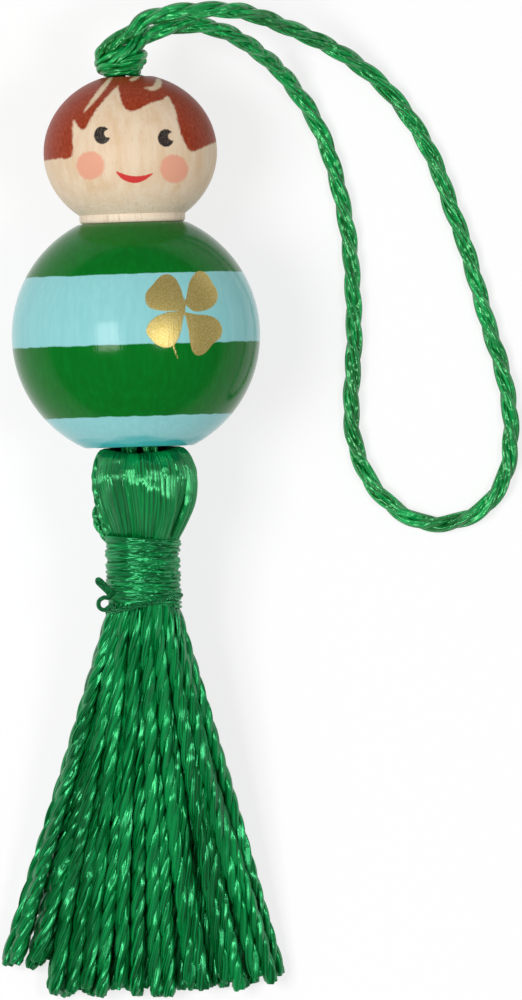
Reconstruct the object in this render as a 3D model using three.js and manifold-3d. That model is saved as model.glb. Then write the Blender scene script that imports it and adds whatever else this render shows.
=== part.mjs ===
// Lucky charm doll: two turned wooden beads on a doubled cord, with a knotted hanging loop and a tassel.
// Millimetres. The charm lies on its back on a table: +X across the doll, +Y from tassel to head, +Z up.
// Places are measured across from the doll's axis (x), from the middle of the body bead (y)
// and up from the table (z). A drop is a distance below the body bead's lower flat.
import * as THREE from 'three';
import { mergeVertices } from 'three/addons/utils/BufferGeometryUtils.js';
import Module from 'manifold-3d';

const wasm = await Module();
wasm.setup();

// Clearances
const CLEARANCE = 0.3;
const STRAND_GAP = 0.22;

// Cord
const CORD_D = 1.7;
const LEG_GAP = 0.25;
const BIGHT_R = 1.8;
const BIGHT_DROP = 2.7;

// Beads
const BODY_R = 12.43;
const BODY_END_R = 5.4;
const HEAD_R = 8.68;
const HEAD_HALF_HEIGHT = 7.86;
const HEAD_RISE = 6.8;
const HEAD_END_R = 3.35;
const NECK_RING_R = 5.3;
const BORE_EDGE = 0.35;

// Knot
const KNOT_SHIFT = -0.75;
const COLLAR_R = 1.55;
const KNOT_TURN_D = 1.5;
const KNOT_HEIGHT = 3.6;

// Tassel
const TASSEL_SWING = 8;
const BULB_TOP_R = 4.5;
const BULB_R = 5.6;
const BULB_WIDEST = 3.2;
const BULB_LENGTH = 8.8;
const BULB_END_R = 3.75;
const FLUTES = 20;
const FLUTE_DEPTH = 0.26;
const WRAP_R = 3.75;
const WRAP_LENGTH = 6.9;
const WRAP_TURNS = 7;
const THREAD_D = 0.48;
const SKIRT_LENGTH = 39;
const STRAND_D = 1.3;
const STRANDS_IN_LAYER = 9;
const FAN_LEFT = 16.2;
const FAN_RIGHT = 13.3;
const FAN_EDGE_TRIM = 3.2;
const RAGGED = 0.5;
const TASSEL_BEND = 16;
const LOWER_SAG = 2.5;

// Sizes that follow from those above
const CORD_R = CORD_D / 2;
const LEG_X = CORD_R + LEG_GAP / 2;
const BORE_R = LEG_X + CORD_R + CLEARANCE;
const AXIS_Z = BODY_R;
const BODY_FLAT = Math.sqrt(BODY_R ** 2 - BODY_END_R ** 2);
const HEAD_SEAT = BODY_FLAT + CLEARANCE;
const HEAD_CENTRE = HEAD_SEAT + HEAD_RISE;
const HEAD_SHOULDER = HEAD_CENTRE + HEAD_HALF_HEIGHT * Math.sqrt(1 - (HEAD_END_R / HEAD_R) ** 2);
const HEAD_TOP = HEAD_SHOULDER + BORE_EDGE;
const BULB_TOP = -BODY_FLAT;
const KNOT_BOTTOM = HEAD_TOP + CLEARANCE;
const PIVOT_Y = BULB_TOP - BIGHT_DROP;
const THREAD_R = THREAD_D / 2;
const WRAP_MID_R = WRAP_R - THREAD_R;
const NECK_R = WRAP_MID_R - THREAD_R - CLEARANCE;
const WRAP_TOP = BULB_LENGTH + CLEARANCE + THREAD_R;
const WRAP_PITCH = (WRAP_LENGTH - 2 * THREAD_R) / WRAP_TURNS;
const NECK_END = BULB_LENGTH + CLEARANCE + WRAP_LENGTH;
const SKIRT_TOP = NECK_END + CLEARANCE;
const SLOTS = 2 * STRANDS_IN_LAYER;
const LAST_SLOT = SLOTS - 0.5;
const NECK_HALF = NECK_R - STRAND_D / 3;
const STRAND_LIFT = STRAND_D / 2 - STRAND_D / 10;
const LYING_Z = STRAND_LIFT + (STRAND_D + STRAND_GAP) / 2;
const TASSEL_FALL = (AXIS_Z - LYING_Z) / bentRun(SKIRT_TOP + SKIRT_LENGTH);

// The cord's free run, from the knot out along the table and back to the knot, with y from the knot's foot.
const TABLE = CORD_R + 0.04;
const LOOP_ROUTE = [
  [1.9, 4.2, 13.4], [3.9, 5.3, 13.2], [6.6, 6.1, 12.6], [11.4, 5.9, 10.5], [15.7, 4.4, 7.5],
  [20.7, 2.0, 4.0], [24.4, -0.7, 1.9], [27.0, -3.5, 1.1], [29.3, -7.1, TABLE], [30.9, -10.7, TABLE],
  [32.1, -14.5, TABLE], [33.2, -17.7, TABLE], [34.3, -21.9, TABLE], [35.5, -26.6, TABLE], [36.5, -30.1, TABLE],
  [37.2, -33.9, TABLE], [37.3, -37.6, TABLE], [36.6, -41.4, TABLE], [34.4, -44.5, TABLE], [31.2, -45.9, TABLE],
  [28.2, -45.8, TABLE], [25.7, -44.5, TABLE], [23.4, -42.1, TABLE], [22.1, -39.4, TABLE], [21.4, -36.3, TABLE],
  [21.4, -33.0, TABLE], [21.8, -28.2, TABLE], [21.9, -23.6, TABLE], [21.7, -17.9, TABLE], [21.2, -14.1, TABLE],
  [20.4, -10.3, TABLE], [19.5, -7.2, TABLE], [18.1, -4.1, 1.2], [16.5, -1.7, 2.3], [15.1, 0.1, 3.8],
  [12.7, 2.2, 6.7], [10.1, 3.8, 9.2], [6.9, 4.3, 11.0], [4.2, 3.6, 11.6], [2.3, 2.7, 11.8],
].map(([x, y, z]) => new THREE.Vector3(x, KNOT_BOTTOM + y, z));

const WOOD = { color: '#e3cbab', roughness: 0.45, metalness: 0 };
const GREEN_LACQUER = { color: '#00691b', roughness: 0.3, metalness: 0 };
const SATIN_CORD = { color: '#007a38', roughness: 0.5, metalness: 0 };
const SATIN_YARN = { color: '#06752f', roughness: 0.45, metalness: 0 };

function named(name, geometry, look) {
  const mesh = new THREE.Mesh(geometry, new THREE.MeshStandardMaterial(look));
  mesh.name = name;
  return mesh;
}

function solidOf(geometry) {
  const bare = geometry.clone();
  bare.deleteAttribute('normal');
  bare.deleteAttribute('uv');
  const joined = mergeVertices(bare, 1e-4);
  const vertProperties = new Float32Array(joined.attributes.position.array);
  const triVerts = new Uint32Array(joined.index.array);
  return new wasm.Manifold(new wasm.Mesh({ numProp: 3, vertProperties, triVerts }));
}

function geometryOf(solid) {
  const mesh = solid.getMesh();
  const geometry = new THREE.BufferGeometry();
  geometry.setAttribute('position', new THREE.BufferAttribute(new Float32Array(mesh.vertProperties), 3));
  geometry.setIndex(new THREE.BufferAttribute(new Uint32Array(mesh.triVerts), 1));
  geometry.computeVertexNormals();
  return geometry;
}

// A closed skin through rings of points, capped at both ends.
function loft(rings) {
  const count = rings[0].length;
  const points = rings.flat();
  const index = [];
  for (let ring = 0; ring + 1 < rings.length; ring += 1) {
    for (let side = 0; side < count; side += 1) {
      const near = ring * count + side;
      const next = ring * count + ((side + 1) % count);
      index.push(near, next, next + count, near, next + count, near + count);
    }
  }
  const last = points.length - count;
  for (let side = 1; side + 1 < count; side += 1) {
    index.push(0, side + 1, side);
    index.push(last, last + side, last + side + 1);
  }
  const geometry = new THREE.BufferGeometry().setFromPoints(points);
  geometry.setIndex(index);
  geometry.computeVertexNormals();
  return geometry;
}

function tube(curve, diameter, steps, sides) {
  const section = new THREE.Shape().absarc(0, 0, diameter / 2, 0, 2 * Math.PI);
  return new THREE.ExtrudeGeometry(section, { extrudePath: curve, steps, curveSegments: sides / 2 });
}

// How much of a drop counts towards the tassel's fall: nothing at the bead, all of it past the bend.
function bentRun(drop) {
  const share = THREE.MathUtils.clamp(drop / TASSEL_BEND, 0, 1);
  return TASSEL_BEND * (share ** 3 - share ** 4 / 2) + Math.max(drop - TASSEL_BEND, 0);
}

// Height of the tassel's axis: level where it leaves the bead, then straight down to the table at its end.
function axisHeight(drop) {
  return AXIS_Z - TASSEL_FALL * bentRun(drop);
}

// A turned bead: bore wall, eased bore edges, flat ends and a curved side, closed on itself.
function beadGeometry(side, low, high) {
  const profile = [
    new THREE.Vector2(BORE_R, low + BORE_EDGE),
    new THREE.Vector2(BORE_R + BORE_EDGE, low),
    ...side,
    new THREE.Vector2(BORE_R + BORE_EDGE, high),
    new THREE.Vector2(BORE_R, high - BORE_EDGE),
    new THREE.Vector2(BORE_R, low + BORE_EDGE),
  ];
  return new THREE.LatheGeometry(profile, 40);
}

function arcPoints(radius, halfHeight, centre, low, high, count) {
  const from = Math.asin((low - centre) / halfHeight);
  const to = Math.asin((high - centre) / halfHeight);
  return Array.from({ length: count + 1 }, (_, i) => {
    const angle = THREE.MathUtils.lerp(from, to, i / count);
    return new THREE.Vector2(radius * Math.cos(angle), centre + halfHeight * Math.sin(angle));
  });
}

function bodyBead() {
  const side = arcPoints(BODY_R, BODY_R, 0, -BODY_FLAT, BODY_FLAT, 18);
  const bead = named('body_bead', beadGeometry(side, -BODY_FLAT, BODY_FLAT), GREEN_LACQUER);
  bead.position.z = AXIS_Z;
  return bead;
}

// The head stands on a short neck ring and is a little wider than it is tall.
function headBead() {
  const ringTop = HEAD_CENTRE - HEAD_HALF_HEIGHT * Math.sqrt(1 - (NECK_RING_R / HEAD_R) ** 2);
  const side = [
    new THREE.Vector2(NECK_RING_R - 0.2, HEAD_SEAT),
    new THREE.Vector2(NECK_RING_R, HEAD_SEAT + 0.2),
    ...arcPoints(HEAD_R, HEAD_HALF_HEIGHT, HEAD_CENTRE, ringTop, HEAD_SHOULDER, 18),
  ];
  const bead = named('head_bead', beadGeometry(side, HEAD_SEAT, HEAD_TOP), WOOD);
  bead.position.z = AXIS_Z;
  return bead;
}

// The doubled cord inside the beads: two legs and the bight that carries the tassel.
function coreCord() {
  const leg = [HEAD_TOP, HEAD_CENTRE, BODY_FLAT, 0, BULB_TOP + 4, BULB_TOP + 1, BULB_TOP];
  const left = leg.map((y) => new THREE.Vector3(-LEG_X, y, AXIS_Z));
  const bight = Array.from({ length: 9 }, (_, i) => {
    const angle = Math.PI + Math.PI * i / 8;
    return new THREE.Vector3(BIGHT_R * Math.cos(angle), PIVOT_Y + BIGHT_R * Math.sin(angle), AXIS_Z);
  });
  const right = leg.toReversed().map((y) => new THREE.Vector3(LEG_X, y, AXIS_Z));
  const route = new THREE.CatmullRomCurve3([...left, ...bight, ...right], false, 'centripetal');
  return named('core_cord', tube(route, CORD_D, 80, 8), SATIN_CORD);
}

// The knot: a collar turn on the head, a slanting turn over it, and the two legs that leave for the loop.
function topKnot() {
  const middle = new THREE.Vector3(KNOT_SHIFT, KNOT_BOTTOM + KNOT_HEIGHT / 2, AXIS_Z);
  const turnR = KNOT_TURN_D / 2;
  const collar = new THREE.TorusGeometry(COLLAR_R, turnR, 8, 24);
  collar.rotateX(Math.PI / 2);
  collar.translate(middle.x, KNOT_BOTTOM + turnR, middle.z);
  const over = new THREE.TorusGeometry(COLLAR_R - 0.3, turnR, 8, 24);
  over.rotateX(Math.PI / 2);
  over.rotateZ(0.6);
  over.translate(middle.x - 0.2, KNOT_BOTTOM + KNOT_HEIGHT - 1.55, middle.z);
  const core = new THREE.CylinderGeometry(COLLAR_R, COLLAR_R + 0.4, KNOT_HEIGHT - 0.5, 16);
  core.translate(middle.x, KNOT_BOTTOM + (KNOT_HEIGHT - 0.5) / 2, middle.z);
  let knot = solidOf(collar).add(solidOf(over)).add(solidOf(core));
  for (const [end, next] of [[0, 1], [LOOP_ROUTE.length - 1, LOOP_ROUTE.length - 2]]) {
    const outward = LOOP_ROUTE[next].clone().sub(LOOP_ROUTE[end]).normalize();
    const face = LOOP_ROUTE[end].clone().addScaledVector(outward, -CLEARANCE);
    const stub = tube(new THREE.LineCurve3(middle, face), CORD_D, 1, 8);
    knot = knot.add(solidOf(stub));
  }
  return named('top_knot', geometryOf(knot), SATIN_CORD);
}

function hangingLoop() {
  const route = new THREE.CatmullRomCurve3(LOOP_ROUTE, false, 'centripetal');
  console.log(`hanging loop: ${route.getLength().toFixed(1)} mm of free cord`);
  return named('hanging_loop', tube(route, CORD_D, 64, 8), SATIN_CORD);
}

// The slot in the bulb for the bight: it leaves a bar through the bight's eye and room to swing.
function bightSlot() {
  const swing = THREE.MathUtils.degToRad(TASSEL_SWING);
  const outer = BIGHT_R + CORD_R + CLEARANCE;
  const top = BIGHT_DROP + 1;
  const flare = outer / Math.cos(swing) + top * Math.tan(swing);
  const slot = new THREE.Shape();
  slot.moveTo(flare, top);
  slot.lineTo(-flare, top);
  slot.absarc(0, 0, outer, Math.PI - swing, 2 * Math.PI + swing, false);
  slot.holes.push(new THREE.Path().absarc(0, 0, BIGHT_R - CORD_R - CLEARANCE, 0, 2 * Math.PI));
  const depth = CORD_D + 2 * CLEARANCE;
  const cut = new THREE.ExtrudeGeometry(slot, { depth, bevelEnabled: false, curveSegments: 10 });
  cut.translate(0, PIVOT_Y, AXIS_Z - depth / 2);
  return solidOf(cut);
}

// The folded yarns: a fluted bulb on a plain neck, its top falling away from the bead as it swings.
function tasselBulb() {
  const lean = Math.tan(THREE.MathUtils.degToRad(TASSEL_SWING + 1));
  const cone = (r) => CLEARANCE + r * lean;
  const profile = [
    [cone(1), 1, 0], [cone(BULB_TOP_R), BULB_TOP_R, 0.4], [BULB_WIDEST - 1.1, BULB_R - 0.25, 1],
    [BULB_WIDEST, BULB_R, 1], [BULB_WIDEST + 1.7, BULB_R - 0.25, 1],
    [(BULB_WIDEST + 1.7 + BULB_LENGTH) / 2, (BULB_R + BULB_END_R) / 2, 1],
    [BULB_LENGTH - 0.5, BULB_END_R, 0.6], [BULB_LENGTH, NECK_R, 0], [NECK_END, NECK_R, 0],
  ];
  const around = 3 * FLUTES;
  const rings = profile.map(([drop, radius, fluted]) => Array.from({ length: around }, (_, i) => {
    const angle = 2 * Math.PI * i / around;
    const r = radius + fluted * FLUTE_DEPTH * (Math.cos(FLUTES * angle) - 1) / 2;
    return new THREE.Vector3(r * Math.cos(angle), BULB_TOP - drop, axisHeight(drop) + r * Math.sin(angle));
  }));
  const bulb = solidOf(loft(rings)).subtract(bightSlot());
  return named('tassel_bulb', geometryOf(bulb), SATIN_YARN);
}

// One thread wound round the neck, its two ends running straight on for one thread diameter.
function wrapPoints() {
  const steps = 24 * WRAP_TURNS;
  const points = Array.from({ length: steps + 1 }, (_, i) => {
    const angle = Math.PI - 2 * Math.PI * i / 24;
    const drop = WRAP_TOP + WRAP_PITCH * i / 24;
    const z = axisHeight(drop) + WRAP_MID_R * Math.sin(angle);
    return new THREE.Vector3(WRAP_MID_R * Math.cos(angle), BULB_TOP - drop, z);
  });
  const lead = points[0].clone().sub(points[1]).setLength(THREAD_D);
  const trail = points[steps].clone().sub(points[steps - 1]).setLength(THREAD_D);
  return [points[0].clone().add(lead), ...points, points[steps].clone().add(trail)];
}

function leastGap(points, diameter, apart) {
  let least = Infinity;
  for (let i = 0; i < points.length; i += 1) {
    for (let j = i + apart; j < points.length; j += 1) {
      least = Math.min(least, points[i].distanceTo(points[j]));
    }
  }
  return least - diameter;
}

function neckWrap() {
  const points = wrapPoints();
  console.log(`neck wrap: least gap between turns ${leastGap(points, THREAD_D, 12).toFixed(2)} mm`);
  const rings = points.map((point, i) => {
    const before = points[Math.max(i - 1, 0)];
    const after = points[Math.min(i + 1, points.length - 1)];
    const along = after.clone().sub(before).normalize();
    const out = new THREE.Vector3(point.x, 0, point.z - axisHeight(BULB_TOP - point.y));
    out.addScaledVector(along, -out.dot(along)).normalize();
    const across = along.clone().cross(out);
    return Array.from({ length: 6 }, (_, side) => {
      const angle = Math.PI * side / 3;
      return point.clone()
        .addScaledVector(out, THREAD_R * Math.cos(angle))
        .addScaledVector(across, THREAD_R * Math.sin(angle));
    });
  });
  return named('neck_wrap', loft(rings), SATIN_YARN);
}

// The loose end of the winding: a small open loop standing off the wrap's lower left.
function wrapTail() {
  const points = wrapPoints();
  const end = points.at(-1);
  const heading = end.clone().sub(points.at(-2)).normalize();
  const start = end.clone().addScaledVector(heading, CLEARANCE);
  const loop = [[0, 0, 0], [-0.1, 0, 0.5], [-0.5, -0.5, 1.0], [-1.0, -0.5, 1.2], [-1.2, 0.4, 1.1],
    [-1.1, 1.4, 0.8], [-0.8, 2.1, 0.6]];
  const route = loop.map(([x, y, z]) => new THREE.Vector3(x, y, z).add(start));
  return named('wrap_tail', tube(new THREE.CatmullRomCurve3(route), THREAD_D, 18, 6), SATIN_YARN);
}

// Widths and heights of the strands at a share of the way down the skirt. Of the four layers at the neck the
// lower two sag to the table: as the strands part, each layer sinks between the strands of the one below it.
function pileAt(share) {
  const width = THREE.MathUtils.lerp(2 * NECK_HALF, FAN_LEFT + FAN_RIGHT, share);
  const spacing = width / LAST_SLOT;
  const wide = Math.min(STRAND_D, 2 * spacing - STRAND_GAP);
  const tall = STRAND_D;
  const rise = (apart) => (tall + STRAND_GAP) * Math.sqrt(1 - Math.min(1, apart / (wide + STRAND_GAP)) ** 2);
  const sink = rise(spacing);
  const pair = sink + rise(spacing / 2);
  const middle = axisHeight(SKIRT_TOP + share * SKIRT_LENGTH);
  const lowest = Math.max(STRAND_LIFT, middle - (pair + sink) / 2 - LOWER_SAG * share);
  const upper = Math.max(lowest + pair, middle + (pair - sink) / 2);
  return { wide, tall, heights: [lowest, lowest + sink, upper, upper + sink] };
}

function skirtStrand(layer, place) {
  const slot = 2 * place + layer % 2 + (layer < 2 ? 0 : 0.5);
  const across = slot / LAST_SLOT;
  const trim = FAN_EDGE_TRIM * (2 * across - 1) ** 4 + RAGGED * (1 + Math.sin(2.4 * slot + 2 * layer));
  const steps = 9;
  const shares = Array.from({ length: steps }, (_, i) => i / steps);
  shares.push(1 - trim / SKIRT_LENGTH);
  const rings = shares.map((share) => {
    const { wide, tall, heights } = pileAt(share);
    const neckX = THREE.MathUtils.lerp(-NECK_HALF, NECK_HALF, across);
    const fanX = THREE.MathUtils.lerp(-FAN_LEFT, FAN_RIGHT, across);
    const x = THREE.MathUtils.lerp(neckX, fanX, share);
    const y = BULB_TOP - SKIRT_TOP - share * SKIRT_LENGTH;
    return Array.from({ length: 6 }, (_, side) => {
      const angle = Math.PI * side / 3;
      const z = heights[layer] + tall / 2 * Math.sin(angle);
      return new THREE.Vector3(x + wide / 2 * Math.cos(angle), y, Math.max(z, 0));
    });
  });
  const number = String(layer * STRANDS_IN_LAYER + place + 1).padStart(2, '0');
  return named(`skirt_strand_${number}`, loft(rings), SATIN_YARN);
}

function skirt() {
  const strands = new THREE.Group();
  for (let layer = 0; layer < 4; layer += 1) {
    for (let place = 0; place < STRANDS_IN_LAYER; place += 1) {
      strands.add(skirtStrand(layer, place));
    }
  }
  return strands;
}

function tassel() {
  const group = new THREE.Group();
  group.add(tasselBulb(), neckWrap(), wrapTail(), skirt());
  return group;
}

// The origin is on the table under the middle of the doll, its loop left out.
function placed(doll, loop) {
  const charm = new THREE.Group();
  charm.add(doll, loop);
  const box = new THREE.Box3().setFromObject(doll);
  const middle = box.getCenter(new THREE.Vector3());
  charm.position.set(-middle.x, -middle.y, -box.min.z);
  const { x, y, z } = charm.position;
  console.log(`middle of the body bead: ${x.toFixed(4)}, ${y.toFixed(4)}, ${(z + AXIS_Z).toFixed(4)}`);
  return charm;
}

const doll = new THREE.Group();
doll.add(headBead(), bodyBead(), coreCord(), topKnot(), tassel());
const group = placed(doll, hangingLoop());

export default group;
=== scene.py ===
import math

import bmesh
import bpy
import numpy as np
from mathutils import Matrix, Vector


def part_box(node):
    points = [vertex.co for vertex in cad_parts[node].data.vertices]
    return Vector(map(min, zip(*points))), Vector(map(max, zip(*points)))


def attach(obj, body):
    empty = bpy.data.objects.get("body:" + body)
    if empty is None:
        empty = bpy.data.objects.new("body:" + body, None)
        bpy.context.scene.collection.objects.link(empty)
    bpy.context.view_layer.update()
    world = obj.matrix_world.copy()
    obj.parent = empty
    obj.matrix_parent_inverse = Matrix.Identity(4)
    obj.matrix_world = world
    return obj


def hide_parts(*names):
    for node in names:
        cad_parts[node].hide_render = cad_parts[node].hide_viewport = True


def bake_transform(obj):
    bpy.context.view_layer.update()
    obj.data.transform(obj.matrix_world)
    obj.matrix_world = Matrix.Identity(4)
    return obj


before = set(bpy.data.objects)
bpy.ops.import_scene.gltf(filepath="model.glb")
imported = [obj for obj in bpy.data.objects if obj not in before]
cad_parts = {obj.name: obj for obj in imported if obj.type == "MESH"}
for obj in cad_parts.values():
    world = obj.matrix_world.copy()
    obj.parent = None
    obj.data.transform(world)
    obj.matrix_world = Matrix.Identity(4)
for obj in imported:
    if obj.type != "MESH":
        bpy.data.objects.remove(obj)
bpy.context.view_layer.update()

MM = 0.001
FINE_STEP = 0.12
BODY_LOW, BODY_HIGH = (Vector(corner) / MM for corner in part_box("body_bead"))
HEAD_LOW, HEAD_HIGH = (Vector(corner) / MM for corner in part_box("head_bead"))
MIDDLE = (BODY_LOW + BODY_HIGH) / 2

# Cord: its thickness, its twist and its plies, then its run inside the beads
CORD_D = 1.7
CORD_LAY = 10.5
CORD_PLIES = 3
CORD_SIDES = 12
CORD_STEP = 0.35
PLY_R = 0.47
PLY_SPREAD = 0.41
CORE_PLY_R = 0.43
CORE_LENGTH = 84
CORE_STEP = 0.5
LEG_X = CORD_D / 2 + 0.125
LEG_STRAIGHT = 4
BIGHT_R = 1.8
BIGHT_DROP = 2.7

# Beads: their sizes, their eased edges, and the steps of their sides and the spin
BODY_R = BODY_HIGH.x - MIDDLE.x
BODY_FLAT = BODY_HIGH.y - MIDDLE.y
HEAD_R = HEAD_HIGH.x - MIDDLE.x
HEAD_SEAT = HEAD_LOW.y - MIDDLE.y
HEAD_TOP = HEAD_HIGH.y - MIDDLE.y
HEAD_HALF_HEIGHT = 7.86
HEAD_CENTRE = HEAD_SEAT + 6.8
HEAD_GAP = 0.03
CROWN_WIDE = 0.1
CROWN_RISE = 0.02
NECK_RING_R = 5.3
RING_EDGE_WIDE = 0.35
RING_EDGE_TALL = 0.2
BODY_EDGE_WIDE = 0.15
BODY_EDGE_TALL = 0.12
BODY_EDGE_LEAN = 0.02
BORE_R = 2.125
BORE_EDGE = 0.35
EDGE_STEPS = 4
HEAD_STEPS = 120
HEAD_AROUND = 320
BODY_STEPS = 140
BODY_AROUND = 400
AXIS_Z = MIDDLE.z
KNOT_FOOT = HEAD_TOP + 0.3

# Tassel: a drop is a distance below the body bead's lower flat
TASSEL_BEND = 16
LYING_Z = 1.28

# Bulb: one fold as drops and distances from the axis, and folds that have come loose as x, drop and height
BULB_YARNS = 190
BULB_GROUPS = 36
BULB_YARN_R = 0.34
BULB_X = 0.45
BULB_FOLD = [
    (2.4, 2.0), (0.8, 2.9), (0.35, 3.7), (0.9, 4.3), (2.0, 4.7), (3.4, 4.85), (5.2, 4.5), (7.0, 3.8),
    (8.4, 3.2), (9.6, 2.95), (12, 2.9),
]
FOLD_LENGTH = 16
CREST_RANGE = (-1.3, 1.1)
DEPTH_RANGE = (-0.12, 0.16)
LIP_REACH = 4
LIP_FRONT = 0.6
LIP_BACK = 0.12
LOOSE_FOLDS = [
    [(-3.2, 0.6, 1.2), (-4.1, 1.4, 1.5), (-4.4, 3.2, 1.6), (-4.1, 5.6, 1.4), (-3.5, 8.0, 1.1),
     (-2.9, 9.8, 0.9)],
    [(-4.0, 5.2, 0.4), (-4.4, 6.4, 0.4), (-4.4, 7.3, 0.4), (-3.9, 8.4, 0.4), (-3.0, 9.6, 0.4)],
    [(-4.0, 5.4, -0.4), (-4.45, 6.6, -0.4), (-4.3, 7.6, -0.4), (-3.7, 8.7, -0.4), (-2.9, 9.6, -0.4)],
]
LOOSE_FOLD_LAY = 2.6
LOOSE_FOLD_SPREAD = 0.2

# Neck: an under and an over course of thread, the turn tied across them and the thread's loose end
UNDER_TURNS = 36
OVER_TURNS = 40
WRAP_TOP = 9.2
WRAP_LENGTH = 6.5
WRAP_R = 3.42
OVER_R = WRAP_R + 0.14
OVER_INSET = 0.1
UNDER_SLANT = 0.3
THREAD_R = 0.16
THREAD_LENGTH = 500
TIE_R = 3.62
TIE_DROP = 15.7
TIE_SLANT = 0.75
TIE_LAY = 5
TIE_SPREAD = 0.16
LOOSE_THREAD_R = 0.22
LOOSE_LOOP = [
    (-2.6, 14.9, 2.2), (-3.25, 14.35, 2.0), (-4.2, 13.3, 1.9), (-4.55, 13.1, 1.8), (-4.6, 13.4, 1.7),
    (-4.3, 13.75, 1.7), (-3.5, 14.6, 1.8), (-3.45, 15.0, 1.9), (-4.0, 14.95, 2.0), (-4.5, 15.3, 2.0),
    (-4.5, 15.9, 2.0), (-4.0, 16.2, 2.0), (-3.5, 15.9, 2.2), (-3.0, 15.7, 2.4),
]

# Skirt: a layer is its side of the bundle, its yarns, the place of its first yarn and how far its ends sag
SKIRT_TOP = 14.4
SKIRT_END = 55.3
SKIRT_LAYERS = [(1, 16, 0.5, 0.0), (0, 17, 0.0, 0.4), (-1, 15, 0.5, 1.6)]
SKIRT_PLACES = 16
SHORT_PLACES = 0.14
SHORT_TRIM = 3.2
RIGHT_TRIM = 1.2
UNEVEN_TRIM = 1.2
SWELL_END = 0.22
NECK_R = 2.5
NECK_ARC = math.radians(170)
FAN_LEFT = 14.6
FAN_RIGHT = 12.65
YARN_LAY = 7
YARN_LENGTH = 40
YARN_PLIES = 3
YARN_PLY_R = 0.46
YARN_SPREAD = 0.32

# Runs of the cord, with y from the knot's foot: out of the knot, round the loop and into the knot again
ON_TABLE = CORD_D / 2 + 0.04
KNOT_UPPER = [
    (-0.4, 1.5, 10.9), (-1.9, 1.6, 11.3), (-2.6, 1.75, 12.6), (-2.1, 2.5, 13.6), (-0.9, 3.25, 13.9),
]
LOOP_ROUTE = [
    (0.4, 4.0, 13.8), (1.6, 5.1, 13.6), (3.3, 5.7, 13.4), (6.6, 6.1, 12.6), (11.4, 5.9, 10.5),
    (15.7, 4.4, 7.5), (20.7, 2.0, 4.0), (24.4, -0.7, 1.9), (27.0, -3.5, 1.1),
    (29.3, -7.1, ON_TABLE), (30.9, -10.7, ON_TABLE), (32.1, -14.5, ON_TABLE), (33.2, -17.7, ON_TABLE),
    (34.3, -21.9, ON_TABLE), (35.5, -26.6, ON_TABLE), (36.5, -30.1, ON_TABLE), (37.2, -33.9, ON_TABLE),
    (37.3, -37.6, ON_TABLE), (36.6, -41.4, ON_TABLE), (34.4, -44.5, ON_TABLE), (31.2, -45.9, ON_TABLE),
    (28.2, -45.8, ON_TABLE), (25.7, -44.5, ON_TABLE), (23.4, -42.1, ON_TABLE), (22.1, -39.4, ON_TABLE),
    (21.4, -36.3, ON_TABLE), (21.4, -33.0, ON_TABLE), (21.8, -28.2, ON_TABLE), (21.9, -23.6, ON_TABLE),
    (21.7, -17.9, ON_TABLE), (21.2, -14.1, ON_TABLE), (20.4, -10.3, ON_TABLE), (19.5, -7.2, ON_TABLE),
    (18.1, -4.1, 1.2), (16.5, -1.7, 2.3), (15.1, 0.1, 3.8),
    (12.7, 2.2, 6.7), (10.1, 3.8, 9.2), (6.9, 4.65, 11.1), (3.6, 4.3, 12.1), (1.6, 3.45, 12.7),
]
KNOT_LOWER = [
    (0.3, 2.3, 13.7), (-0.9, 1.65, 14.0), (-2.0, 1.2, 13.4), (-2.5, 1.1, 12.3), (-1.7, 1.1, 11.2),
    (-0.3, 1.2, 10.9),
]
KNOT_BEND = [
    (-0.9, 1.3, 13.7), (0.3, 1.4, 13.9), (1.05, 1.5, 13.3), (1.3, 1.55, 12.3), (0.7, 1.5, 11.3),
    (-0.5, 1.4, 10.9),
]
KNOT_HEART = [(-0.75, 0.3, 12.4), (-0.85, 1.5, 12.5), (-0.9, 2.7, 12.6)]
KNOT_COLLAR_X = -0.75
KNOT_COLLAR_Y = 0.5
KNOT_COLLAR_R = 1.55
KNOT_LENGTH = 10

# View of the photograph: image size, size of a pixel at the doll's axis, and the body bead's middle in it
IMAGE_WIDE = 522
IMAGE_TALL = 1000
PIXEL = 0.1
BODY_PIXEL_X = 135.9
BODY_PIXEL_Y = 335
LEAN = math.radians(1.75)
CAMERA_RISE = 2000

# Light and table: sizes in metres, power in watts, room light and table glow as shares of white
ROOM_LIGHT = 0.27
LAMP_AWAY = 0.6
PANE_LONG = 0.26
PANE_WIDE = 0.1
PANE_POWER = 1.1
SOFTBOX_LONG = 0.16
SOFTBOX_WIDE = 0.12
SOFTBOX_POWER = 0.8
TABLE_HALF = 2
TABLE_BELOW = 0.00005
TABLE_GLOW = 0.74


def at(x, y, z):
    """A place on the doll as a point of the frame, in metres."""
    return Vector((MIDDLE.x + x, MIDDLE.y + y, z)) * MM


def linear(code):
    """A colour written as sRGB hex, as linear RGBA."""
    parts = [int(code[i:i + 2], 16) / 255 for i in (1, 3, 5)]
    return [p / 12.92 if p <= 0.04045 else ((p + 0.055) / 1.055) ** 2.4 for p in parts] + [1]


# Camera, light and table


def photo_camera():
    """The photograph's view: straight down, with the doll leaning a little in the picture."""
    right = (IMAGE_WIDE / 2 - BODY_PIXEL_X) * PIXEL
    up = (BODY_PIXEL_Y - IMAGE_TALL / 2) * PIXEL
    x = right * math.cos(LEAN) + up * math.sin(LEAN)
    y = up * math.cos(LEAN) - right * math.sin(LEAN)
    data = bpy.data.cameras.new("photo_camera")
    data.lens = data.sensor_width * CAMERA_RISE / (IMAGE_TALL * PIXEL)
    data.clip_end = 10 * CAMERA_RISE * MM
    camera = bpy.data.objects.new("photo_camera", data)
    camera.location = at(x, y, AXIS_Z + CAMERA_RISE)
    camera.rotation_euler = (0, 0, -LEAN)
    bpy.context.collection.objects.link(camera)
    bpy.context.scene.camera = camera


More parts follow.
